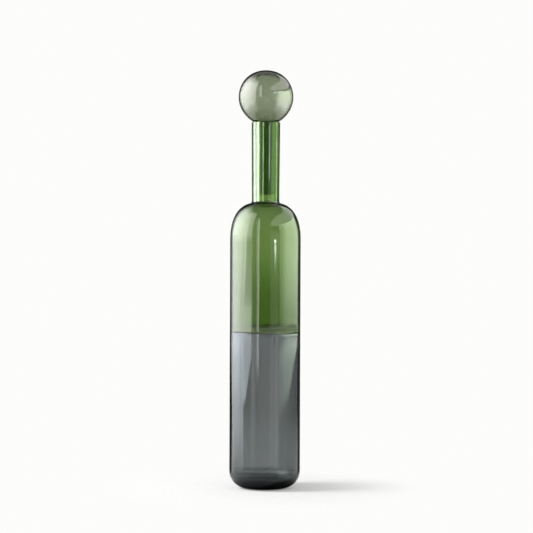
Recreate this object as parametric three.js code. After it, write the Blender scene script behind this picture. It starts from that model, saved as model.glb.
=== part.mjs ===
// Tall hand-blown glass bottle in two colours, with a hollow ball stopper.
// Millimetres, +Z up. The origin is the middle of the foot, on the surface that it stands on.

import * as THREE from 'three'

// Fineness of the round forms
const facets = 48
const heel_steps = 9
const inner_heel_steps = 6
const shoulder_steps = 11
const ball_steps = 14
const small_steps = 4
const lip_steps = 6

// Body, outside
const body_radius = 45
const foot_ring_width = 4.5
const heel_height = 23
const heel_fullness = 2.2
const shoulder_start = 314
const shoulder_height = 49
const shoulder_fullness = 2.4
const shoulder_overrun = 7.5

// Body, inside
const body_wall = 3
const floor_thickness = 11
const floor_crown = 1.6
const inner_heel_width = 13
const inner_heel_height = 14
const round_corner = 2

// Punt, ground into the underside inside the foot ring
const punt_radius = 15.5
const punt_depth = 3.5

// Seam, where the green skirt laps round the thinned grey lip
const seam_height = 196
const seam_lap = 11.5
const skirt_wall = 1.7
const lip_wall = 1.8
const lap_blend = 4

// Neck
const neck_length = 103
const neck_root_radius = 17.5
const neck_top_radius = 18.15
const neck_wall = 2.8
const neck_flare = 2
const neck_flare_height = 3.4

// Stopper
const ball_radius = 34.95
const ball_wall = 2
const stem_length = 90
const stem_wall = 2.5
const stem_clearance = 4.4
const stem_flare = 1.2
const stem_flare_height = 2.4
const stem_end_bevel = 0.5
const seat_gap = 0.15

// Radii and heights that follow from the sizes above
const inner_radius = body_radius - body_wall
const foot_radius = punt_radius + foot_ring_width
const lip_outer_radius = body_radius - skirt_wall
const lip_inner_radius = lip_outer_radius - lip_wall
const lip_top = seam_height + seam_lap
const neck_bore = neck_root_radius - neck_wall
const neck_top_bore = neck_top_radius - neck_wall
const collar_radius = neck_root_radius + neck_flare
const stem_radius = neck_bore - stem_clearance
const stem_bore = stem_radius - stem_wall
const ball_root_radius = stem_radius + stem_flare
const ball_root_depth = Math.sqrt(ball_radius ** 2 - ball_root_radius ** 2)
const ball_cavity_radius = ball_radius - ball_wall

// The shoulder levels off this far from the axis, hidden under the neck
const crown_radius = neck_root_radius - shoulder_overrun
const collar_height = shoulder_start + fall_of_curve(
  (collar_radius - crown_radius) / (body_radius - crown_radius), shoulder_height, shoulder_fullness)
const rim_height = collar_height + neck_length

// The ball rests in the rounded lip: the gap is between the sphere and the ring of the lip
const rim_round = neck_wall / 2
const rim_ring_radius = neck_top_radius - rim_round
const rim_ring_height = rim_height - rim_round
const ball_height = rim_ring_height
  + Math.sqrt((ball_radius + rim_round + seat_gap) ** 2 - rim_ring_radius ** 2)

// Height of a superellipse quadrant at a share of its width
function fall_of_curve(share, height, fullness) {
  return height * (1 - share ** fullness) ** (1 / fullness)
}

// A point of a half section: distance from the axis, then height
function at(radius, height) {
  const on_axis = Math.abs(radius) < 1e-9
  return new THREE.Vector2(on_axis ? 0 : radius, height)
}

// Part of a superellipse about a centre, from one angle to another, both measured from straight
// outwards. A fullness of 2 is a plain ellipse, and more than 2 gives a squarer corner.
function curve(centre, width, height, fullness, from, to, steps) {
  const points = []
  for (let i = 0; i <= steps; i++) {
    const angle = from + ((to - from) * i) / steps
    const out = Math.abs(Math.cos(angle)) ** (2 / fullness) * Math.sign(Math.cos(angle))
    const up = Math.abs(Math.sin(angle)) ** (2 / fullness) * Math.sign(Math.sin(angle))
    points.push(at(centre.x + width * out, centre.y + height * up))
  }
  return points
}

function arc(centre, radius, from, to, steps) {
  return curve(centre, radius, radius, round_corner, from, to, steps)
}

// The angle at which a superellipse about a centre reaches a distance from the axis
function angle_at(radius, centre_radius, width, fullness) {
  return Math.acos(((radius - centre_radius) / width) ** (fullness / 2))
}

// Turns a closed half section, which runs up the outside and down the inside, round the axis
function revolve(name, section, material) {
  const geometry = new THREE.LatheGeometry(section, facets)
  geometry.rotateX(Math.PI / 2)
  const mesh = new THREE.Mesh(geometry, material)
  mesh.name = name
  return mesh
}

function closed(section) {
  return [...section, section[0]]
}

function glass(color) {
  return new THREE.MeshStandardMaterial({ color, roughness: 0.05, metalness: 0 })
}

// Shallow dome that rises from a rim on the way in to the axis, listed from the axis outwards
function dome(edge_radius, edge_height, rise) {
  const points = []
  for (let i = 0; i < small_steps; i++) {
    const share = i / small_steps
    points.push(at(edge_radius * share, edge_height + rise * (1 - share ** 2)))
  }
  return points
}

// Grey half: punt, foot ring, heavy heel and a wall that thins to a lip at the seam
function lower_cup() {
  const heel = curve(at(foot_radius, heel_height), body_radius - foot_radius, heel_height,
    heel_fullness, -Math.PI / 2, 0, heel_steps)
  const floor_radius = inner_radius - inner_heel_width
  const inner_heel = curve(at(floor_radius, floor_thickness + inner_heel_height), inner_heel_width,
    inner_heel_height, round_corner, 0, -Math.PI / 2, inner_heel_steps)
  const section = [
    ...dome(punt_radius, 0, punt_depth),
    at(punt_radius, 0),
    ...heel,
    at(body_radius, seam_height),
    at(lip_outer_radius, seam_height),
    at(lip_outer_radius, lip_top),
    at(lip_inner_radius, lip_top),
    at(lip_inner_radius, seam_height),
    at(inner_radius, seam_height - lap_blend),
    ...inner_heel,
    ...dome(floor_radius, floor_thickness, floor_crown).reverse(),
  ]
  return revolve('lower_cup', section, glass('#6f7573'))
}

// Green half: a skirt round the grey lip, the wall, and the shoulder up to the neck's seat
function upper_bell() {
  const centre = at(crown_radius, shoulder_start)
  const outer_width = body_radius - crown_radius
  const inner_width = inner_radius - crown_radius
  const outer_end = angle_at(collar_radius, crown_radius, outer_width, shoulder_fullness)
  const inner_end = angle_at(neck_bore, crown_radius, inner_width, shoulder_fullness)
  const section = closed([
    at(body_radius, seam_height),
    ...curve(centre, outer_width, shoulder_height, shoulder_fullness, 0, outer_end, shoulder_steps),
    at(neck_bore, collar_height),
    ...curve(centre, inner_width, shoulder_height - body_wall, shoulder_fullness, inner_end, 0,
      shoulder_steps),
    at(inner_radius, lip_top + lap_blend),
    at(lip_inner_radius, lip_top),
    at(lip_outer_radius, lip_top),
    at(lip_outer_radius, seam_height),
  ])
  return revolve('upper_bell', section, glass('#5f7f3c'))
}

// Neck: flared where it is fused on, slightly wider at the top, with a fire-polished round lip
function neck_tube() {
  const flare = curve(at(collar_radius, collar_height + neck_flare_height), neck_flare,
    neck_flare_height, round_corner, -Math.PI / 2, -Math.PI, small_steps)
  const lip = arc(at(rim_ring_radius, rim_ring_height), rim_round, 0, Math.PI, lip_steps)
  const section = closed([...flare, ...lip, at(neck_bore, collar_height)])
  return revolve('neck_tube', section, glass('#5f7f3c'))
}

// Hollow ball about its own centre, cut off flat where the stem is fused on
function stopper_ball() {
  const root_angle = -Math.acos(ball_root_radius / ball_radius)
  const hole_angle = -Math.acos(stem_bore / ball_cavity_radius)
  const section = closed([
    ...arc(at(0, 0), ball_radius, root_angle, Math.PI / 2, ball_steps),
    ...arc(at(0, 0), ball_cavity_radius, Math.PI / 2, hole_angle, ball_steps),
    at(stem_bore, -ball_root_depth),
  ])
  return revolve('stopper_ball', section, glass('#8fa374'))
}

// Hollow stem below the ball, flared at the top and ground flat at its open end
function stopper_stem() {
  const stem_end = -ball_root_depth - stem_length
  const flare = curve(at(ball_root_radius, -ball_root_depth - stem_flare_height), stem_flare,
    stem_flare_height, round_corner, Math.PI, Math.PI / 2, small_steps)
  const section = closed([
    at(stem_bore, stem_end),
    at(stem_radius - stem_end_bevel, stem_end),
    at(stem_radius, stem_end + stem_end_bevel),
    ...flare,
    at(stem_bore, -ball_root_depth),
  ])
  return revolve('stopper_stem', section, glass('#6f8a4c'))
}

const stopper = new THREE.Group()
stopper.position.z = ball_height
stopper.add(stopper_ball(), stopper_stem())

const group = new THREE.Group()
group.add(lower_cup(), upper_bell(), neck_tube(), stopper)

export default group
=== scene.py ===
"""Looks of a tall two-colour glass bottle with a hollow ball stopper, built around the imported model.

Metres, +Z up. The photograph looks along +Y, level, from about two metres away.
"""

import math

import bpy
from mathutils import Matrix, Vector, noise


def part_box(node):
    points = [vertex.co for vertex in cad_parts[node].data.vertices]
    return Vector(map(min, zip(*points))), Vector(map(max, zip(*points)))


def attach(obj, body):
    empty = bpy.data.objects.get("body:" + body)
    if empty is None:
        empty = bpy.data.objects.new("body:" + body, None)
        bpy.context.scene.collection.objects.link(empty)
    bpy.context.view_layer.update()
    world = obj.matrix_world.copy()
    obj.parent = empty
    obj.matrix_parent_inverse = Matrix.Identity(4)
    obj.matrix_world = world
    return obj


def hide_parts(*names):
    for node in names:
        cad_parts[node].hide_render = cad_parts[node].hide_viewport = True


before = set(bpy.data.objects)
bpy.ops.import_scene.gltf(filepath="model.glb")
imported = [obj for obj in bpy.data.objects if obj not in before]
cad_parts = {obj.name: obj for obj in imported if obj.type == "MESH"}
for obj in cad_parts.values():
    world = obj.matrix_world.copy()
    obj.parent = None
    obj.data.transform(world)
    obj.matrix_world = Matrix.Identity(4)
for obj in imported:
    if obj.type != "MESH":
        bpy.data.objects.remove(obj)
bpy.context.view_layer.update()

MM = 0.001

# Places that the frame gives
cup_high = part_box("lower_cup")[1]
bell_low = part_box("upper_bell")[0]
neck_low, neck_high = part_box("neck_tube")
ball_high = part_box("stopper_ball")[1]
stem_low, stem_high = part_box("stopper_stem")
body_radius = cup_high.x
seam_height = bell_low.z
lip_top = cup_high.z
collar_height = neck_low.z
rim_height = neck_high.z
stem_end = stem_low.z
ball_root = stem_high.z

# Body, outside
foot_radius = 20.0 * MM
heel_height = 23.0 * MM
heel_fullness = 2.2
shoulder_start = 314.0 * MM
shoulder_height = 49.0 * MM
shoulder_fullness = 2.4
crown_radius = 10.0 * MM

# Body, inside: the green glass is blown thinner towards the shoulder
wall = 3.0 * MM
shoulder_wall = 2.1 * MM
thinning_start = 225.0 * MM
floor_height = 11.0 * MM
floor_crown = 1.6 * MM
inner_heel_width = 13.0 * MM
inner_heel_height = 14.0 * MM
inner_heel_fullness = 2.5
punt_radius = 15.5 * MM
punt_depth = 3.5 * MM

# Lap at the seam
skirt_wall = 1.7 * MM
lip_wall = 1.8 * MM
lap_blend = 5.0 * MM
lip_bead = 0.55 * MM
bead_sweep = 1.4 * math.pi

# Neck and stopper
neck_root_radius = 17.5 * MM
neck_top_radius = 18.15 * MM
neck_wall = 2.8 * MM
neck_flare = 2.0 * MM
neck_flare_height = 3.4 * MM
ball_radius = 34.95 * MM
ball_wall = 1.9 * MM
ball_floor = 2.4 * MM
ball_fullness = 2.11
ball_slimness = 1.87
stem_radius = 10.3 * MM
stem_wall = 2.5 * MM
stem_flare = 1.2 * MM
stem_flare_height = 2.4 * MM
stopper_lean = math.radians(0.8)
ball_height = ball_high.z - ball_radius

# The hair of air that a renderer needs between two pieces fused together
fused_gap = 0.03 * MM

# Heights of the even bands beside the edges of the neck and the stem, and above the neck's flare
even_band = 4.0 * MM
even_flare = 2.0 * MM

# Specks of air in the grey wall, just below the seam on the side towards the camera
speck_angle = math.radians(15.5)
speck_radius = 43.4 * MM
speck_heights = (190.6 * MM, 187.4 * MM, 183.4 * MM)
speck_half_width = 1.1 * MM
speck_half_height = 1.2 * MM

# Fineness of the blown forms
segments = 288
row_length = 3.0 * MM
heel_steps = 40
inner_heel_steps = 24
shoulder_steps = 44
wall_steps = 20
ball_steps = 60
bead_steps = 20
lip_steps = 18
small_steps = 12
speck_rings = 6
speck_segments = 12

# Corners that turn by more than sharp_turn, in radians, are rounded by edge_round, or by less where
# that would be more than edge_share of a side
edge_round = 0.35 * MM
edge_steps = 4
edge_share = 0.45
sharp_turn = 0.45

# Lengths that count as none
axis_tolerance = 1e-7
point_tolerance = 1e-9

# Unevenness of the blown surfaces: its size, its fineness round and up the glass, and its seed
outer_swell = (0.10 * MM, 1.1, 9, 0)
inner_swell = (0.14 * MM, 1.3, 7, 20)
inner_streak = (0.07 * MM, 7.0, 5, 40)

# It fades out within calm_radius of the axis, and near the heights where pieces meet: the nearest
# calm_core of the distance given for each has none
calm_radius = 8.0 * MM
calm_core = 0.3

# How far above and below the seam the glass follows its waves
seam_reach = 14.0 * MM

# Fullness of a superellipse that is a plain ellipse
plain = 2

# Which surface of the glass a point belongs to, for its unevenness: a still point has none
STILL = 0
OUTSIDE = 1
INSIDE = 2

# Camera, read off the photograph
frame_pixels = 533
pixel = 1.273 * MM
base_row = 487.6
axis_column = 265.35
camera_distance = 2.15
camera_roll = math.radians(0.235)
eye_height = (base_row - frame_pixels / 2) * pixel

# Depth of glass that the colours are given for: two walls of the body, and two of the ball. The
# density is a little over the least that gives them, so that no colour is quite used up
colour_depth = 6.0 * MM
ball_colour_depth = 3.8 * MM
density_headroom = 1.02

# Faint upright cords in the surface of the glass
cord_stretch = 0.05
cord_scale = 230.0
cord_detail = 2.0
cord_strength = 0.3
cord_depth = 0.00009

# Sheet under the bottle: its grey, a painted shadow that darkens it in a ring right under the heel,
# the glow further out, painted dim near the foot as shade, and where it fades into the background
# and out of reflections, all by distance from the axis
sheet_rings = (0.03, 0.08, 0.16, 0.3, 0.5, 0.7)
sheet_segments = 96
sheet_grey = 0.5
painted_shadow_grey = 0.04
painted_shadow_ring = (0.03, 0.054)
painted_shade_glow_ring = (0.044, 0.062)
painted_shade_glow_levels = (0.01, 0.35)
painted_shade_shift = 0.026
fade_ring = (0.045, 0.21)
mirror_ring = (0.15, 0.2)

# Light: the white of the room, its level on matt surfaces, the soft lamp on the left, and how far
# away the wall with the windows is
room_white = (0.98, 0.98, 0.965, 1)
diffuse_level = 0.55
lamp_place = (-1.28, -0.2, 1.0)
lamp_target = (0.05, 0, 0.05)
lamp_size = 0.6
lamp_power = 31.0
wall_distance = 3.0

# Windows, by height in metres and azimuth in degrees: how soft their lower edges and upright lines
# are, where they turn back low down, and the folds of their curtains
edge_softness = 0.02
line_softness = (-1.5, 0.5)
turning_heights = (0.15, 0.33)
turning_azimuths = (-116, -80)
fold_scale = 0.24
fold_detail = 1.5
fold_height = 1.5
fold_contrast = 0.5
fold_dimness = 0.75

# Colours of the windows, their level lower edges, and a brightness that is even up the neck
daylight = (0.99, 1.0, 1.04)
warm_daylight = (1.0, 1.0, 0.96)
leafy = (0.88, 1.0, 0.79)
through_green = (0.6, 1.0, 0.42)
lamplight = (0.9, 0.95, 1.12)
low_edge = (-180, -1.2, 180, -1.2)
neck_edge = (-180, 0.2, 180, 0.2)
lamp_edge = (-180, 0.0, 180, 0.0)
even = ((0.2, 1.0), (2.0, 1.0))

# Most bounces of a light path, all of which may be in the glass, and the most of any other kind
glass_bounces = 32
other_bounces = 16


def superellipse(centre, width, height, fullness, start, end, steps, side):
    """Points of a superellipse about a centre, between two angles from straight outwards."""
    points = []
    for i in range(steps + 1):
        angle = start + (end - start) * i / steps
        out = math.copysign(abs(math.cos(angle)) ** (2 / fullness), math.cos(angle))
        up = math.copysign(abs(math.sin(angle)) ** (2 / fullness), math.sin(angle))
        radius = centre[0] + width * out
        points.append((radius if radius > axis_tolerance else 0.0, centre[1] + height * up, side))
    return points


def arc(centre, radius, start, end, steps, side):
    return superellipse(centre, radius, radius, plain, start, end, steps, side)


def angle_at(radius, centre_radius, width, fullness):
    """The angle at which a superellipse about a centre reaches a distance from the axis."""
    return math.acos(((radius - centre_radius) / width) ** (fullness / 2))


def rounded(section):
    """Rounds every sharp corner of a closed section."""
    result = []
    for i, (r, z, side) in enumerate(section):
        before = section[i - 1]
        after = section[(i + 1) % len(section)]
        into = Vector((r - before[0], z - before[1]))
        out = Vector((after[0] - r, after[1] - z))
        no_corner = r == 0 or min(into.length, out.length) < point_tolerance
        if no_corner or abs(into.angle_signed(out)) < sharp_turn:
            result.append((r, z, side))
            continue
        cut = min(edge_round, into.length * edge_share, out.length * edge_share)
        start = Vector((r, z)) - into.normalized() * cut
        end = Vector((r, z)) + out.normalized() * cut
        for k in range(edge_steps + 1):
            t = k / edge_steps
            point = start * (1 - t) ** 2 + Vector((r, z)) * 2 * t * (1 - t) + end * t ** 2
            result.append((point.x, point.y, side))
    return result


def dense(section):
    """Adds points to the long straight stretches of a closed section."""
    result = []
    for i, (r, z, side) in enumerate(section):
        r2, z2, side2 = section[(i + 1) % len(section)]
        result.append((r, z, side))
        if r == 0 and r2 == 0:
            continue
        pieces = int(math.hypot(r2 - r, z2 - z) / row_length) + 1
        for k in range(1, pieces):
            t = k / pieces
            between = side if side == side2 else STILL
            result.append((r + (r2 - r) * t, z + (z2 - z) * t, between))
    return result


def smooth(value, low, high):
    """0 below low, 1 above high, and a smooth step between."""
    t = min(max((value - low) / (high - low), 0.0), 1.0)
    return t * t * (3 - 2 * t)


def seam_wave(angle):
    """How far the skirt's lower edge strays from level round the bottle."""
    return (2.2 - 0.8 * math.cos(angle) + 1.1 * math.sin(angle) + 0.25 * math.cos(3 * angle)) * MM


def lip_wave(angle):
    """How far the grey lip's edge strays from level round the bottle."""
    return (-1.4 + 2.2 * math.cos(angle) - 1.1 * math.sin(angle) + 0.3 * math.sin(4 * angle)) * MM


def seam_shift(z, angle):
    """Height by which the glass near the seam is drawn up or down."""
    if z < seam_height:
        return seam_wave(angle) * smooth(z, seam_height - seam_reach, seam_height)
    if z > lip_top:
        return lip_wave(angle) * (1 - smooth(z, lip_top, lip_top + seam_reach))
    share = (z - seam_height) / (lip_top - seam_height)
    return seam_wave(angle) * (1 - share) + lip_wave(angle) * share


def wandering(z, angle, seed, form):
    """Smooth noise of a form, which is a size, finenesses round and up the glass, and a seed."""
    size, fine_round, fine_up, own_seed = form
    around = Vector((math.cos(angle), math.sin(angle), 0)) * fine_round
    return size * noise.noise(around + Vector((0, 0, z * fine_up + seed + own_seed)))


def unevenness(z, angle, side, seed):
    """How far a blown surface strays from its true radius: broad swells outside, streaks inside."""
    if side == OUTSIDE:
        return wandering(z, angle, seed, outer_swell)
    if side == INSIDE:
        return wandering(z, angle, seed, inner_swell) + wandering(z, angle, seed, inner_streak)
    return 0.0


def uneven_share(r, z, calm):
    """Share of the unevenness that is left at a place."""
    share = 1.0
    for height, reach in calm:
        share = min(share, smooth(abs(z - height), reach * calm_core, reach))
    return share * smooth(r, 0, calm_radius)


def bubble(centre, radius, height, points, faces):
    """Adds a small upright bubble of air to a glass shell's points and faces."""
    first = len(points)
    rings, around = speck_rings, speck_segments
    points.append(centre - Vector((0, 0, height)))
    for k in range(1, rings):
        tilt = math.pi * k / rings
        for i in range(around):
            angle = math.tau * i / around
            points.append(centre + Vector((radius * math.sin(tilt) * math.cos(angle),
                                           radius * math.sin(tilt) * math.sin(angle),
                                           -height * math.cos(tilt))))
    points.append(centre + Vector((0, 0, height)))
    last = len(points) - 1
    for i in range(around):
        here, beside = first + 1 + i, first + 1 + (i + 1) % around
        faces.append((first, here, beside))
        for k in range(rings - 2):
            low, high = k * around, (k + 1) * around
            faces.append((here + low, here + high, beside + high, beside + low))
        top = (rings - 2) * around
        faces.append((here + top, last, beside + top))


def turned_rows(section, seed, calm, seamed):
    """Points of a section turned round the axis, and the numbers of the points in each row."""
    rows = []
    points = []
    for r, z, side in section:
        if r == 0:
            rows.append([len(points)])
            points.append(Vector((0, 0, z)))
            continue
        share = uneven_share(r, z, calm)
        row = []
        for i in range(segments):
            angle = math.tau * i / segments
            radius = r + unevenness(z, angle, side, seed) * share
            shift = seam_shift(z, angle) if seamed else 0.0
            row.append(len(points))
            points.append(Vector((radius * math.cos(angle), radius * math.sin(angle), z + shift)))
        rows.append(row)
    return rows, points


def faces_between(rows):
    """Faces between the neighbouring rows of a closed shell. A row on the axis is one point."""
    faces = []
    for one, two in zip(rows, rows[1:] + rows[:1]):
        if len(one) == 1 and len(two) == 1:
            continue
        for i in range(segments):
            k = (i + 1) % segments
            if len(one) == 1:
                faces.append((one[0], two[k], two[i]))
            elif len(two) == 1:
                faces.append((one[i], one[k], two[0]))
            else:
                faces.append((one[i], one[k], two[k], two[i]))
    return faces


def revolve(name, section, seed, calm, seamed=False, move=None, bubbles=()):
    """A closed glass shell from a half section that runs up the outside and down the inside.

    calm lists heights near which the surface runs true, with the distance over which it calms, and
    bubbles the heights of the specks of air in the glass. A seamed piece follows the seam's waves.
    """
    rows, points = turned_rows(dense(rounded(section)), seed, calm, seamed)
    faces = faces_between(rows)
    for z in bubbles:
        centre = Vector((speck_radius * math.sin(speck_angle), -speck_radius * math.cos(speck_angle), z))
        bubble(centre, speck_half_width, speck_half_height, points, faces)
    mesh = bpy.data.meshes.new(name)
    mesh.from_pydata(points, [], faces)
    mesh.polygons.foreach_set("use_smooth", [True] * len(mesh.polygons))
    if move is not None:
        mesh.transform(move)
    mesh.update()
    piece = bpy.data.objects.new(name, mesh)
    bpy.context.scene.collection.objects.link(piece)
    return piece


def wall_at(z):
    """Thickness of the body's glass at a height."""
    return wall + (shoulder_wall - wall) * smooth(z, thinning_start, shoulder_start)


def cup_section():
    """Grey half: punt, foot ring, heavy heel, and a wall that thins to a lip inside the skirt."""
    inner = body_radius - wall
    floor_radius = inner - inner_heel_width
    lip_outer = body_radius - skirt_wall - fused_gap
    lip_inner = body_radius - skirt_wall - lip_wall
    bead = (lip_wall + lip_bead) / 2
    punt = [(punt_radius * k / small_steps, punt_depth * (1 - (k / small_steps) ** 2), STILL)
            for k in range(small_steps)]
    heel = superellipse((foot_radius, heel_height), body_radius - foot_radius, heel_height,
                        heel_fullness, -math.pi / 2, 0, heel_steps, OUTSIDE)
    inner_heel = superellipse((floor_radius, floor_height + inner_heel_height), inner_heel_width,
                              inner_heel_height, inner_heel_fullness, 0, -math.pi / 2,
                              inner_heel_steps, INSIDE)
    shares = [1 - k / small_steps for k in range(1, small_steps + 1)]
    floor = [(floor_radius * share, floor_height + floor_crown * (1 - share ** 2), INSIDE)
             for share in shares]
    return [
        *punt,
        (punt_radius, 0.0, STILL),
        *heel,
        (body_radius, seam_height - fused_gap, OUTSIDE),
        (lip_outer, seam_height - fused_gap, STILL),
        *arc((lip_outer - bead, lip_top - fused_gap - bead), bead, 0, bead_sweep, bead_steps, STILL),
        (lip_inner, lip_top - 3 * bead, STILL),
        (lip_inner, seam_height, STILL),
        (inner, seam_height - lap_blend, INSIDE),
        *inner_heel,
        *floor,
    ]


def bell_section():
    """Green half: skirt round the grey lip, wall, and shoulder up to the seat of the neck."""
    collar_radius = neck_root_radius + neck_flare
    bore = neck_root_radius - neck_wall
    lip_outer = body_radius - skirt_wall
    lip_inner = lip_outer - lip_wall
    centre = (crown_radius, shoulder_start)
    width = body_radius - crown_radius
    inner_width = width - shoulder_wall
    end = angle_at(collar_radius, crown_radius, width, shoulder_fullness)
    inner_end = angle_at(bore, crown_radius, inner_width, shoulder_fullness)
    top = collar_height - fused_gap
    drop = (shoulder_start - lip_top - lip_bead) / wall_steps
    heights = [shoulder_start - drop * k for k in range(1, wall_steps + 1)]
    inner_wall = [(body_radius - wall_at(z), z, INSIDE) for z in heights]
    return [
        (body_radius, seam_height, OUTSIDE),
        *superellipse(centre, width, shoulder_height, shoulder_fullness, 0, end, shoulder_steps,
                      OUTSIDE)[:-1],
        (collar_radius, top, STILL),
        (bore, top, STILL),
        *superellipse(centre, inner_width, shoulder_height - shoulder_wall, shoulder_fullness,
                      inner_end, 0, shoulder_steps, INSIDE),
        *inner_wall,
        (lip_inner - lip_bead / 2, lip_top, STILL),
        (lip_outer, lip_top, STILL),
        (lip_outer, seam_height, STILL),
    ]


def neck_section():
    """Neck: flared where it is fused on, wider at the top, with a round fire-polished lip."""
    collar_radius = neck_root_radius + neck_flare
    half = neck_wall / 2
    flare = superellipse((collar_radius, collar_height + neck_flare_height), neck_flare,
                         neck_flare_height, plain, -math.pi / 2, -math.pi, small_steps, STILL)
    lip = arc((neck_top_radius - half, rim_height - half), half, 0, math.pi, lip_steps, STILL)
    return [
        *flare,
        (neck_root_radius, collar_height + neck_flare_height + even_flare, OUTSIDE),
        (neck_top_radius, rim_height - even_band, OUTSIDE),
        *lip,
        (neck_top_radius - neck_wall, rim_height - even_band, INSIDE),
        (neck_root_radius - neck_wall, collar_height + even_band, INSIDE),
        (neck_root_radius - neck_wall, collar_height, STILL),
    ]


def ball_section():
    """Hollow ball, fuller above its middle than below, cut off flat where the stem is fused on."""
    root_radius = stem_radius + stem_flare
    bore = stem_radius - stem_wall
    cavity = ball_radius - ball_wall
    centre = (0.0, ball_height)
    root_angle = -angle_at(root_radius, 0, ball_radius, ball_slimness)
    bore_angle = -angle_at(bore, 0, cavity, ball_slimness)
    # Below its middle the ball is drawn out so far that it still ends on the stem
    depth = (ball_height - ball_root) / abs(math.sin(root_angle)) ** (2 / ball_slimness)
    floor_depth = depth - ball_floor
    outside = [*superellipse(centre, ball_radius, depth, ball_slimness, root_angle, 0, ball_steps,
                             OUTSIDE),
               *superellipse(centre, ball_radius, ball_radius, ball_fullness, 0, math.pi / 2,
                             ball_steps, OUTSIDE)[1:]]
    inside = [*superellipse(centre, cavity, cavity, ball_fullness, math.pi / 2, 0, ball_steps, INSIDE),
              *superellipse(centre, cavity, floor_depth, ball_slimness, 0, bore_angle, ball_steps,
                            INSIDE)[1:]]
    return [*outside, *inside, (bore, ball_root, STILL)]


def stem_section():
    """Hollow stem, flared under the ball and ground flat at its open end."""
    root_radius = stem_radius + stem_flare
    bore = stem_radius - stem_wall
    top = ball_root - fused_gap
    flare = superellipse((root_radius, top - stem_flare_height), stem_flare, stem_flare_height,
                         plain, math.pi, math.pi / 2, small_steps, STILL)
    return [
        (bore, stem_end, STILL),
        (stem_radius, stem_end, STILL),
        (stem_radius, stem_end + even_band, OUTSIDE),
        *flare,
        (bore, top, STILL),
        (bore, top - even_band, INSIDE),
        (bore, stem_end + even_band, INSIDE),
    ]


def new_tree(owner):
    owner.use_nodes = True
    owner.node_tree.nodes.clear()
    return owner.node_tree


def node(tree, kind, **inputs):
    """A new node with plain values or links for its inputs, which are named by their labels."""
    made = tree.nodes.new(kind)
    for label, value in inputs.items():
        put(tree, made.inputs[label.replace("_", " ")], value)
    return made


def put(tree, socket, value):
    if isinstance(value, bpy.types.NodeSocket):
        tree.links.new(value, socket)
    else:
        socket.default_value = value


def maths(tree, operation, *values):
    made = tree.nodes.new("ShaderNodeMath")
    made.operation = operation
    for socket, value in zip(made.inputs, values):
        put(tree, socket, value)
    return made.outputs[0]


def step_between(tree, value, low, high, to_low=0.0, to_high=1.0):
    """A smooth step of a value from to_low at low to to_high at high."""
    made = node(tree, "ShaderNodeMapRange", Value=value, From_Min=low, From_Max=high, To_Min=to_low,
                To_Max=to_high)
    made.interpolation_type = "SMOOTHSTEP"
    return made.outputs["Result"]


def absorption(passed, thickness):
    """Colour and density of an absorbing glass that passes these shares through a thickness."""
    strengths = [-math.log(share) / thickness for share in passed]
    density = max(strengths) * density_headroom
    return [1 - s / density for s in strengths], density


def glass_material(name, passed, thickness, sheen, index):
    """Clear coloured glass: the colour is in its depth, and the surface has faint cords.

    passed is the share of light that a thickness lets through, sheen the tint of its reflections.
    """
    material = bpy.data.materials.new(name)
    tree = new_tree(material)
    colour, density = absorption(passed, thickness)
    place = tree.nodes.new("ShaderNodeTexCoord").outputs["Object"]
    stretched = node(tree, "ShaderNodeMapping", Vector=place, Scale=(1, 1, cord_stretch)).outputs[0]
    cords = node(tree, "ShaderNodeTexNoise", Vector=stretched, Scale=cord_scale, Detail=cord_detail)
    bump = node(tree, "ShaderNodeBump", Height=cords.outputs["Fac"], Strength=cord_strength,
                Distance=cord_depth)
    surface = node(tree, "ShaderNodeBsdfPrincipled", Base_Color=(1, 1, 1, 1), Roughness=0.0, IOR=index,
                   Transmission_Weight=1.0, Specular_Tint=(*sheen, 1), Normal=bump.outputs[0])
    volume = node(tree, "ShaderNodeVolumeAbsorption", Color=(*colour, 1), Density=density)
    output = tree.nodes.new("ShaderNodeOutputMaterial")
    tree.links.new(surface.outputs[0], output.inputs["Surface"])
    tree.links.new(volume.outputs[0], output.inputs["Volume"])
    return material


def floor_material():
    """White sheet that keeps the shadow, has painted shade round the foot, and fades into the white
    background away from the bottle.
    """
    material = bpy.data.materials.new("white_sheet")
    tree = new_tree(material)
    place = tree.nodes.new("ShaderNodeTexCoord").outputs["Object"]
    length = node(tree, "ShaderNodeVectorMath", Vector=place)
    length.operation = "LENGTH"
    far = length.outputs["Value"]
    path = tree.nodes.new("ShaderNodeLightPath").outputs
    # The painted shade round the foot reaches less far for the eye than for rays through the glass
    spread = maths(tree, "MULTIPLY_ADD", path["Is Camera Ray"], painted_shade_shift, far)
    # Painted shade: the glow dims to almost nothing near the foot
    lit = step_between(tree, spread, *painted_shade_glow_ring, *painted_shade_glow_levels)
    # Painted shadow: the paper's grey falls to a dark ring under the heel
    grey = step_between(tree, spread, *painted_shadow_ring, painted_shadow_grey, sheet_grey)
    paper = node(tree, "ShaderNodeBsdfDiffuse", Color=grey)
    glow = node(tree, "ShaderNodeEmission", Color=room_white, Strength=lit)
    both = node(tree, "ShaderNodeAddShader")
    tree.links.new(paper.outputs[0], both.inputs[0])
    tree.links.new(glow.outputs[0], both.inputs[1])
    # Reflections look past the outer sheet, to the table in the surroundings
    mirrored = maths(tree, "GREATER_THAN", path["Is Glossy Ray"], path["Is Transmission Ray"])
    mirrored = maths(tree, "MULTIPLY", mirrored, step_between(tree, far, *mirror_ring))
    clear = maths(tree, "MAXIMUM", step_between(tree, far, *fade_ring), mirrored)
    mix = node(tree, "ShaderNodeMixShader", Fac=clear)
    tree.links.new(both.outputs[0], mix.inputs[1])
    tree.links.new(tree.nodes.new("ShaderNodeBsdfTransparent").outputs[0], mix.inputs[2])
    output = tree.nodes.new("ShaderNodeOutputMaterial")
    tree.links.new(mix.outputs[0], output.inputs["Surface"])
    return material


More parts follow.
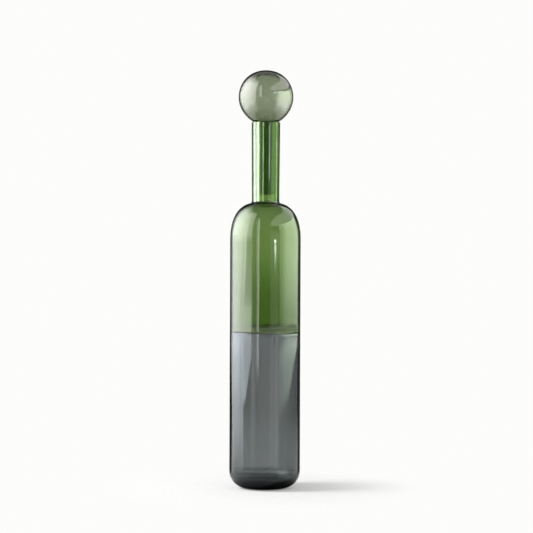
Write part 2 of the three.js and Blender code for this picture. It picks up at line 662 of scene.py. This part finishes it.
def card(tree, azimuth, elevation, sides, heights, soft):
    """1 inside a soft-edged oblong of the sky, in degrees, and 0 outside it."""
    left = step_between(tree, azimuth, sides[0] - soft[0], sides[0] + soft[0])
    right = step_between(tree, azimuth, sides[1] - soft[0], sides[1] + soft[0], 1.0, 0.0)
    bottom = step_between(tree, elevation, heights[0] - soft[1], heights[0] + soft[1])
    top = step_between(tree, elevation, heights[1] - soft[1], heights[1] + soft[1], 1.0, 0.0)
    across = maths(tree, "MULTIPLY", left, right)
    up = maths(tree, "MULTIPLY", bottom, top)
    return maths(tree, "MULTIPLY", across, up)


def azimuth_of(tree, x, y):
    """Degrees round the bottle: 0 towards the camera, growing to the right."""
    turned = maths(tree, "ARCTAN2", x, maths(tree, "MULTIPLY", y, -1.0))
    return maths(tree, "DEGREES", turned)


def ramp(tree, value, stops):
    """A level that follows straight lines between stops, which are pairs of value and level."""
    low, high = stops[0][0], stops[-1][0]
    peak = max(level for _, level in stops)
    share = node(tree, "ShaderNodeMapRange", Value=value, From_Min=low, From_Max=high).outputs["Result"]
    made = node(tree, "ShaderNodeValToRGB", Fac=share)
    elements = made.color_ramp.elements
    while len(elements) < len(stops):
        elements.new(0.5)
    for element, (place, level) in zip(elements, stops):
        element.position = (place - low) / (high - low)
        element.color = (level / peak, level / peak, level / peak, 1)
    return maths(tree, "MULTIPLY", made.outputs["Color"], peak)


def reflections(tree, y, azimuth, elevation):
    """What the glass reflects, apart from the windows: a dim room, its panels and the table."""
    level = step_between(tree, elevation, 4, 28, 0.1, 0.6)
    strip = card(tree, azimuth, elevation, (-30.3, -19.8), (-3.4, 42), (0.8, 0.8))
    level = maths(tree, "MULTIPLY_ADD", strip, ramp(tree, azimuth, ((-30, 1.5), (-20, 6.0))), level)

    # The white table: bright to both sides far down, and faint all round just below the eye
    aside = maths(tree, "ABSOLUTE", azimuth)
    table_side = maths(tree, "MULTIPLY", step_between(tree, aside, 38, 66),
                       step_between(tree, aside, 100, 136, 1.0, 0.3))
    table = ramp(tree, elevation,
                 ((-62, 0.0), (-50, 1.6), (-38, 3.0), (-28, 6.0), (-20, 4.5), (-8, 0.0)))
    level = maths(tree, "MULTIPLY_ADD", table_side, table, level)
    tabletop = ramp(tree, elevation, ((-62, 0.0), (-50, 0.4), (-12, 0.5), (-9, 0.8), (-6.2, 0.8),
                                      (-5.7, 0.6), (-4.8, 0.0)))
    level = maths(tree, "MULTIPLY_ADD", step_between(tree, azimuth, -66, -40, 1.6, 1.0), tabletop, level)

    # Soft panels in front, two dim ones and one low on the right: sides, heights, softness, level
    for sides, heights, soft, brightness in (((17, 44), (-8, 12), (1.5, 4), 0.9),
                                             ((-44, -31), (-6, 40), (2, 4), 0.9),
                                             ((42, 78), (-12, -6.9), (9, 0.15), 2.5)):
        panel = card(tree, azimuth, elevation, sides, heights, soft)
        level = maths(tree, "MULTIPLY_ADD", panel, brightness, level)

    # The room is dark towards the back, apart from a slanted ceiling board and the wall behind
    level = maths(tree, "MULTIPLY", level, step_between(tree, y, 0.62, 0.78, 1.0, 0.05))
    leaning = maths(tree, "MULTIPLY_ADD", maths(tree, "SUBTRACT", 33.5, elevation), 1.9, azimuth)
    board = maths(tree, "MULTIPLY", step_between(tree, leaning, 17, 27),
                  card(tree, azimuth, elevation, (20, 150), (22, 50), (5, 3)))
    level = maths(tree, "MULTIPLY_ADD", board, step_between(tree, y, 0.76, 0.88, 2.1, 0.0), level)
    return maths(tree, "ADD", level, step_between(tree, y, 0.95, 0.985))


def seen_through(tree, azimuth, elevation):
    """What shows through the glass: a sheet on each side, a brighter wall beyond, a dark ceiling."""
    gap = maths(tree, "PINGPONG", azimuth, 45.0)
    sheets = ramp(tree, gap, ((17, 1.0), (21, 0.08), (30, 0.1), (36, 0.6), (42, 2.4)))
    above = maths(tree, "MULTIPLY", sheets, step_between(tree, elevation, 11, 13.5, 1.0, 0.06))
    above = maths(tree, "MULTIPLY", above, step_between(tree, elevation, -12, -8))
    return maths(tree, "MAXIMUM", above, step_between(tree, elevation, -16, -9, 0.95, 0.0))


def studio():
    """White surroundings for the eye, with the studio's panels in the reflections of the glass."""
    world = bpy.data.worlds.new("studio")
    tree = new_tree(world)
    direction = tree.nodes.new("ShaderNodeTexCoord").outputs["Generated"]
    x, y, z = node(tree, "ShaderNodeSeparateXYZ", Vector=direction).outputs
    azimuth = azimuth_of(tree, x, y)
    elevation = maths(tree, "DEGREES", maths(tree, "ARCSINE", z))
    path = tree.nodes.new("ShaderNodeLightPath").outputs
    level = diffuse_level
    for ray, shown in (("Is Glossy Ray", reflections(tree, y, azimuth, elevation)),
                       ("Is Transmission Ray", seen_through(tree, azimuth, elevation)),
                       ("Is Camera Ray", 1.0)):
        level = node(tree, "ShaderNodeMix", Factor=path[ray], A=level, B=shown).outputs[0]
    background = node(tree, "ShaderNodeBackground", Color=room_white, Strength=level)
    output = tree.nodes.new("ShaderNodeOutputWorld")
    tree.links.new(background.outputs[0], output.inputs["Surface"])
    bpy.context.scene.world = world


def on_the_wall(tree):
    """Azimuth in degrees and height on the windows' wall of the point that a ray meets."""
    place = tree.nodes.new("ShaderNodeNewGeometry").outputs["Position"]
    x, y, z = node(tree, "ShaderNodeSeparateXYZ", Vector=place).outputs
    flat = node(tree, "ShaderNodeCombineXYZ", X=x, Y=y).outputs[0]
    away = node(tree, "ShaderNodeVectorMath", Vector=flat)
    away.operation = "LENGTH"
    slope = maths(tree, "DIVIDE", maths(tree, "SUBTRACT", z, eye_height), away.outputs["Value"])
    height = maths(tree, "MULTIPLY_ADD", slope, wall_distance, eye_height)
    return azimuth_of(tree, x, y), height


def window_level(tree, across, up, bottom, lean, beyond):
    """Brightness of a window, with the soft folds of its curtain, for make_window's values."""
    azimuth, height = on_the_wall(tree)
    edge = node(tree, "ShaderNodeMapRange", Value=azimuth, From_Min=bottom[0], From_Max=bottom[2],
                To_Min=bottom[1], To_Max=bottom[3]).outputs["Result"]
    above = maths(tree, "SUBTRACT", height, edge)
    inside = step_between(tree, above, -edge_softness, edge_softness)
    turn = maths(tree, "MULTIPLY", step_between(tree, height, *turning_heights, lean, 0.0),
                 step_between(tree, azimuth, *turning_azimuths))
    turned = maths(tree, "ADD", azimuth, turn)
    if beyond is None:
        level = ramp(tree, turned, across)
    else:
        line = [beyond + offset for offset in line_softness]
        level = maths(tree, "MULTIPLY", ramp(tree, azimuth, across),
                      step_between(tree, turned, *line))
    level = maths(tree, "MULTIPLY", level, ramp(tree, height, up))
    along = maths(tree, "MULTIPLY", height, fold_height)
    hung = node(tree, "ShaderNodeCombineXYZ", X=turned, Y=along).outputs[0]
    folds = node(tree, "ShaderNodeTexNoise", Vector=hung, Scale=fold_scale, Detail=fold_detail)
    shade = maths(tree, "MULTIPLY_ADD", folds.outputs["Fac"], fold_contrast, fold_dimness)
    level = maths(tree, "MULTIPLY", level, shade)
    return maths(tree, "MULTIPLY", level, inside)


def make_window(name, colour, across, up, bottom, lit, lean=0.0, beyond=None):
    """An upright curtained window that only reflections see, on a wall all round the bottle.

    across gives its brightness by azimuth in degrees, and up a share of that by height on the wall.
    bottom is the slanted lower edge: azimuth and height at one end, then at the other. The window
    shines in the pieces of lit alone. Low down it is turned back by lean degrees, and beyond is the
    azimuth of an upright line, so turned, where the window starts.
    """
    first, last = across[0][0], across[-1][0]
    low, high = up[0][0], up[-1][0]
    middle = math.radians(first + last) / 2
    half = math.radians(last - first) / 2
    light = bpy.data.lights.new(name, "AREA")
    light.shape = "RECTANGLE"
    light.size = 2 * wall_distance * math.tan(half)
    light.size_y = 2 * (max(high - eye_height, eye_height - low) / math.cos(half))
    light.color = colour
    # Blender gives an area light the radiance of its power over its area and pi
    light.energy = math.pi * light.size * light.size_y
    tree = new_tree(light)
    level = window_level(tree, across, up, bottom, lean, beyond)
    emission = node(tree, "ShaderNodeEmission", Strength=level)
    output = tree.nodes.new("ShaderNodeOutputLight")
    tree.links.new(emission.outputs[0], output.inputs["Surface"])
    place = (wall_distance * math.sin(middle), -wall_distance * math.cos(middle), eye_height)
    lamp = add_light(light, place, Vector((0, 0, eye_height)))
    lamp.visible_diffuse = False
    lamp.visible_volume_scatter = False
    lamp.light_linking.receiver_collection = bpy.data.collections.new(name + "_pieces")
    for piece in lit:
        lamp.light_linking.receiver_collection.objects.link(piece)


def add_light(light, place, target):
    """Puts a light in the scene, turned to a target and hidden from the eye and from refraction."""
    lamp = bpy.data.objects.new(light.name, light)
    lamp.location = place
    lamp.rotation_euler = (target - lamp.location).to_track_quat("-Z", "Y").to_euler()
    lamp.visible_camera = False
    lamp.visible_transmission = False
    bpy.context.scene.collection.objects.link(lamp)
    return lamp


def left_windows(body, neck, ball):
    """The tall window on the left and the pane beside it."""
    outer = ((-155, 0.0), (-146, 0.4), (-136, 1.8), (-128, 4.8), (-105, 9.0), (-84, 9.9))
    make_window("left_window", daylight,
                (*outer, (-76, 9.0), (-74, 6.8), (-72, 7.2), (-69, 9.4), (-65, 9.0), (-61, 0.0)),
                ((-0.33, 0.0), (-0.2, 0.35), (-0.06, 0.68), (0.0, 0.74), (0.045, 0.93),
                 (0.07, 0.98), (0.1, 0.9), (0.13, 0.94), (0.36, 1.0), (0.55, 1.3), (1.2, 1.35),
                 (2.0, 1.15), (3.2, 0.95), (4.2, 0.45), (5.4, 0.2), (6.0, 0.0)),
                (-155, 0.25, -124, -0.33), body, 11.5)
    make_window("left_window_on_ball", warm_daylight,
                (*outer, (-65, 8.2), (-57, 7.0), (-47, 6.2), (-42, 0.0)),
                ((-1.2, 0.0), (-0.3, 0.6), (0.3, 1.0), (0.74, 1.12), (2.0, 1.15), (3.2, 1.0),
                 (4.2, 0.5), (5.4, 0.25), (6.0, 0.0)),
                low_edge, ball)
    make_window("left_pane", daylight, ((-80, 6.0), (-61, 5.4), (-46, 4.6), (-42, 0.0)),
                ((0.05, 1.0), (0.08, 1.3), (0.155, 1.45), (0.175, 1.0), (0.36, 0.6), (0.6, 1.25),
                 (4.2, 0.8), (5.4, 0.0)),
                (-66, -0.13, -43, 0.03), body, 11.5, -62.5)
    make_window("left_window_on_neck", daylight,
                ((-150, 0.0), (-136, 0.5), (-125, 1.4), (-120, 4.0), (-115, 12.5), (-98, 12.5),
                 (-87, 9.5), (-74, 16.0), (-65, 23.0), (-60.5, 22.0), (-58, 0.0)),
                even, neck_edge, neck)
    make_window("left_pane_on_neck", through_green,
                ((-61, 0.0), (-58, 14.0), (-53, 10.0), (-45, 2.0), (-36, 0.0), (-26, 0.0),
                 (-22, 7.0), (-18, 8.5), (-15, 0.0)),
                even, neck_edge, neck)


def right_windows(body, neck, ball):
    """The greenish window on the right."""
    make_window("right_window", leafy,
                ((45, 0.0), (49, 3.0), (55, 3.5), (67, 6.2), (88, 7.5), (118, 5.2), (126, 4.8),
                 (130.5, 1.6), (138, 0.2), (155, 0.0)),
                ((-0.14, 0.15), (-0.06, 0.4), (0.0, 0.5), (0.045, 0.76), (0.074, 0.5),
                 (0.079, 0.28), (0.106, 0.28), (0.11, 0.58), (0.14, 0.56), (0.18, 0.7),
                 (0.24, 0.84), (0.3, 0.95), (1.6, 1.0), (1.66, 0.0)),
                (84, -0.105, 128, 0.058), body)
    make_window("right_window_on_ball", leafy,
                ((43, 0.0), (50, 5.0), (60, 8.4), (75, 9.2), (95, 9.2), (118, 5.4), (128, 2.8),
                 (145, 0.6), (155, 0.2)),
                ((-1.2, 0.0), (-0.3, 0.55), (0.3, 1.0), (1.42, 1.0), (1.48, 0.0)), low_edge, ball)
    make_window("right_window_on_neck", through_green,
                ((44, 0.0), (48, 3.4), (58, 4.4), (67, 4.2), (77, 3.2), (86, 1.0), (94, 0.5),
                 (124, 0.0)),
                even, neck_edge, neck)
    make_window("right_edge_on_neck", leafy, ((94, 0.0), (97, 8.0), (104, 8.0), (107, 0.0)),
                even, neck_edge, neck)


def lamp_windows(body, neck, ball):
    """The upright lamp in front, a little to the right."""
    make_window("lamp", lamplight, ((28, 0.0), (30.5, 32.0), (33.5, 32.0), (35.5, 0.0)),
                ((0.26, 0.0), (0.284, 0.04), (0.304, 0.12), (0.322, 0.26), (0.331, 0.42),
                 (0.359, 0.46), (0.367, 0.65), (0.377, 1.0), (0.389, 0.8), (0.41, 0.6), (0.42, 0.0)),
                lamp_edge, body)
    make_window("lamp_on_neck", lamplight, ((28, 0.0), (30.5, 9.0), (33, 9.0), (35.5, 0.0)),
                ((0.5, 0.0), (0.52, 1.0), (0.66, 1.0), (0.69, 0.0)), lamp_edge, neck)
    make_window("lamp_on_ball", lamplight, ((31, 0.0), (35, 10.0), (40, 10.0), (43, 0.0)),
                ((1.1, 0.0), (1.2, 1.0), (1.38, 1.0), (1.46, 0.0)), lamp_edge, ball)


def make_floor():
    """Round sheet under the bottle, in rings so that it is finer near the foot."""
    points = [Vector((0, 0, 0))]
    faces = []
    angles = [math.tau * i / sheet_segments for i in range(sheet_segments)]
    for k, radius in enumerate(sheet_rings):
        points += [Vector((radius * math.cos(angle), radius * math.sin(angle), 0)) for angle in angles]
        for i in range(sheet_segments):
            here = 1 + k * sheet_segments + i
            beside = 1 + k * sheet_segments + (i + 1) % sheet_segments
            if k == 0:
                faces.append((0, here, beside))
            else:
                faces.append((here - sheet_segments, here, beside, beside - sheet_segments))
    mesh = bpy.data.meshes.new("sheet")
    mesh.from_pydata(points, [], faces)
    mesh.materials.append(floor_material())
    floor = bpy.data.objects.new("sheet", mesh)
    bpy.context.scene.collection.objects.link(floor)


def make_lamp():
    """Soft lamp from the left, which throws the faint shadow to the right."""
    light = bpy.data.lights.new("window", "AREA")
    light.shape = "RECTANGLE"
    light.size = lamp_size
    light.size_y = lamp_size
    light.energy = lamp_power
    lamp = add_light(light, lamp_place, Vector(lamp_target))
    lamp.visible_glossy = False


def make_camera():
    """Level camera whose frame matches the photograph's."""
    data = bpy.data.cameras.new("camera")
    data.sensor_width = 36.0
    data.lens = data.sensor_width * camera_distance / (frame_pixels * pixel)
    camera = bpy.data.objects.new("camera", data)
    middle = frame_pixels / 2
    place = Vector(((middle - axis_column) * pixel, -camera_distance, eye_height))
    level = Matrix.Rotation(math.pi / 2, 4, "X")
    roll = Matrix.Rotation(camera_roll, 4, "Z")
    camera.matrix_world = Matrix.Translation(place) @ level @ roll
    bpy.context.scene.collection.objects.link(camera)
    bpy.context.scene.camera = camera


def about(point, turn):
    """A turn about a point instead of the origin."""
    return Matrix.Translation(point) @ turn @ Matrix.Translation(-point)


def dress(piece, material, body, cad_node):
    piece.data.materials.append(material)
    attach(piece, body)
    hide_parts(cad_node)


def make_pieces():
    """The five pieces of glass, dressed and riding on their bodies."""
    lean = about(Vector((0, 0, ball_height)), Matrix.Rotation(-stopper_lean, 4, "Y"))
    cup = revolve("cup_glass", cup_section(), 1.0, [(0, 6 * MM)], seamed=True, bubbles=speck_heights)
    bell = revolve("bell_glass", bell_section(), 1.0, [(collar_height, 10 * MM)], seamed=True)
    neck = revolve("neck_glass", neck_section(), 3.0, [(collar_height, 6 * MM), (rim_height, 6 * MM)])
    ball = revolve("ball_glass", ball_section(), 5.0, [(ball_root, 8 * MM)], move=lean)
    stem = revolve("stem_glass", stem_section(), 7.0, [(ball_root, 6 * MM), (stem_end, 4 * MM)],
                   move=lean)

    grey = glass_material("smoke_grey_glass", (0.125, 0.137, 0.137), colour_depth,
                          (0.72, 0.8, 0.84), 1.55)
    green = glass_material("moss_green_glass", (0.049, 0.107, 0.0135), colour_depth,
                           (0.92, 1, 0.78), 1.52)
    bright = glass_material("neck_green_glass", (0.088, 0.18, 0.026), colour_depth,
                            (0.9, 1, 0.8), 1.55)
    pale = glass_material("pale_green_glass", (0.23, 0.275, 0.17), ball_colour_depth,
                          (1, 1, 1), 1.55)
    dress(cup, grey, "bottle", "lower_cup")
    dress(bell, green, "bottle", "upper_bell")
    dress(neck, bright, "bottle", "neck_tube")
    dress(ball, pale, "stopper", "stopper_ball")
    dress(stem, bright, "stopper", "stopper_stem")
    return cup, bell, neck, ball, stem


def set_scene():
    """Plain colours, and light paths long enough for four walls of glass."""
    scene = bpy.context.scene
    scene.view_settings.view_transform = "Standard"
    scene.cycles.max_bounces = glass_bounces
    scene.cycles.transmission_bounces = glass_bounces
    scene.cycles.glossy_bounces = other_bounces
    scene.cycles.transparent_max_bounces = other_bounces


def main():
    cup, bell, neck, ball, stem = make_pieces()
    make_floor()
    make_lamp()
    for windows in (left_windows, right_windows, lamp_windows):
        windows((cup, bell), (neck, stem), (ball,))
    make_camera()
    studio()
    set_scene()


main()
